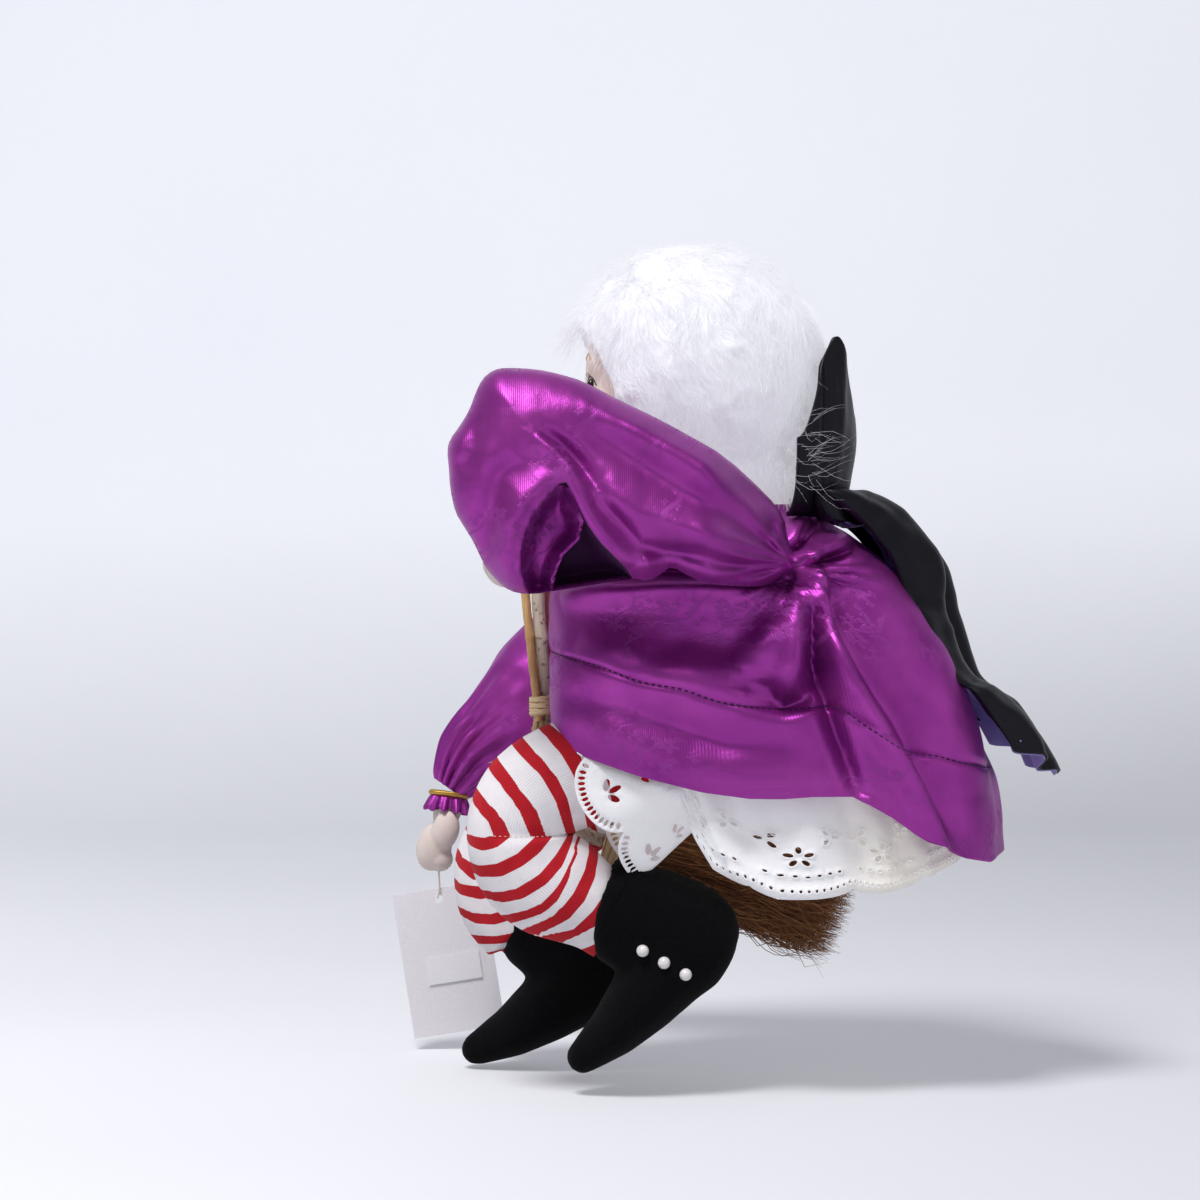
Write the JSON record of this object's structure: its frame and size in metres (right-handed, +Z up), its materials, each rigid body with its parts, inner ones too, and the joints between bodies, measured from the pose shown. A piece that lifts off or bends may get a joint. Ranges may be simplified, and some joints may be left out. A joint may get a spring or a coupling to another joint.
{
  "type": "plush witch doll",
  "caption": "Soft plush witch doll riding a broom, with purple dress, black cape, striped legs and felt boots.",
  "frame": {"origin": "crown of the wig, the highest point, where the doll is hung up", "axes": "+X from the doll's front to its back, +Y to the doll's right hand side, +Z up"},
  "size_m": [0.3066, 0.2272, 0.3746],
  "materials": {
    "muslin": "matte",
    "mohair": "matte",
    "purple_satin": "satin",
    "black_satin": "satin",
    "lavender_lining": "satin",
    "white_cotton": "matte",
    "striped_knit": "matte",
    "black_felt": "matte",
    "pearl": "gloss",
    "eye": "gloss",
    "pale_stick": "matte",
    "reed": "matte",
    "raffia": "matte",
    "coir": "matte",
    "gold_elastic": "metallic",
    "card": "matte",
    "sticker_paper": "matte",
    "thread": "matte"
  },
  "bodies": {
    "torso_body": {"torso": "muslin", "dress": "purple_satin", "petticoat": "white_cotton", "cape": "black_satin", "cape_lining": "lavender_lining", "cape_collar": "black_satin"},
    "head_body": {"head": "muslin", "wig": "mohair", "left_eye": "eye", "right_eye": "eye", "nose": "muslin"},
    "left_arm_body": {"left_upper_arm": "muslin", "left_forearm": "muslin", "left_hand": "muslin", "left_sleeve": "purple_satin"},
    "right_arm_body": {"right_arm": "muslin", "right_hand": "muslin", "right_sleeve": "purple_satin", "right_wrist_band": "gold_elastic", "right_cuff_frill": "purple_satin"},
    "left_leg_body": {"left_thigh": "striped_knit", "left_shin": "striped_knit", "left_boot": "black_felt", "left_boot_button_1": "pearl", "left_boot_button_2": "pearl", "left_boot_button_3": "pearl", "left_pantaloon": "white_cotton"},
    "right_leg_body": {"right_thigh": "striped_knit", "right_shin": "striped_knit", "right_boot": "black_felt", "right_boot_button_1": "pearl", "right_boot_button_2": "pearl", "right_boot_button_3": "pearl", "right_pantaloon": "white_cotton"},
    "broom_body": {"broom_stick": "pale_stick", "broom_reed_front": "reed", "broom_reed_back": "reed", "broom_binding": "raffia", "broom_brush_tie": "raffia", "broom_bristles_1": "coir", "broom_bristles_2": "coir", "broom_bristles_3": "coir", "broom_bristles_4": "coir"},
    "tag_body": {"hang_tag": "card", "price_sticker": "sticker_paper", "tag_string": "thread"}
  },
  "joints": [
    {"name": "head_turn", "type": "hinge", "parent": "torso_body", "child": "head_body", "pos_m": [0.012, 0, -0.102], "axis": [0, 0, 1], "range_deg": [-12, 12]},
    {"name": "left_arm_swing", "type": "hinge", "parent": "torso_body", "child": "left_arm_body", "pos_m": [0.042, 0, -0.141], "axis": [0, 1, 0], "range_deg": [0, 18]},
    {"name": "right_arm_swing", "type": "hinge", "parent": "torso_body", "child": "right_arm_body", "pos_m": [0.042, 0, -0.141], "axis": [0, 1, 0], "range_deg": [-10, 30]},
    {"name": "left_leg_swing", "type": "hinge", "parent": "torso_body", "child": "left_leg_body", "pos_m": [0.036, 0, -0.2], "axis": [0, 1, 0], "range_deg": [-20, 0]},
    {"name": "right_leg_swing", "type": "hinge", "parent": "torso_body", "child": "right_leg_body", "pos_m": [0.036, 0, -0.2], "axis": [0, 1, 0], "range_deg": [-20, 0]},
    {"name": "broom_tilt", "type": "hinge", "parent": "torso_body", "child": "broom_body", "pos_m": [-0.06, 0, -0.243], "axis": [0, 1, 0], "range_deg": [-5, 0]},
    {"name": "tag_swing", "type": "hinge", "parent": "right_arm_body", "child": "tag_body", "pos_m": [-0.118, 0.088, -0.2885], "axis": [0, 1, 0], "range_deg": [-30, 20]}
  ]
}
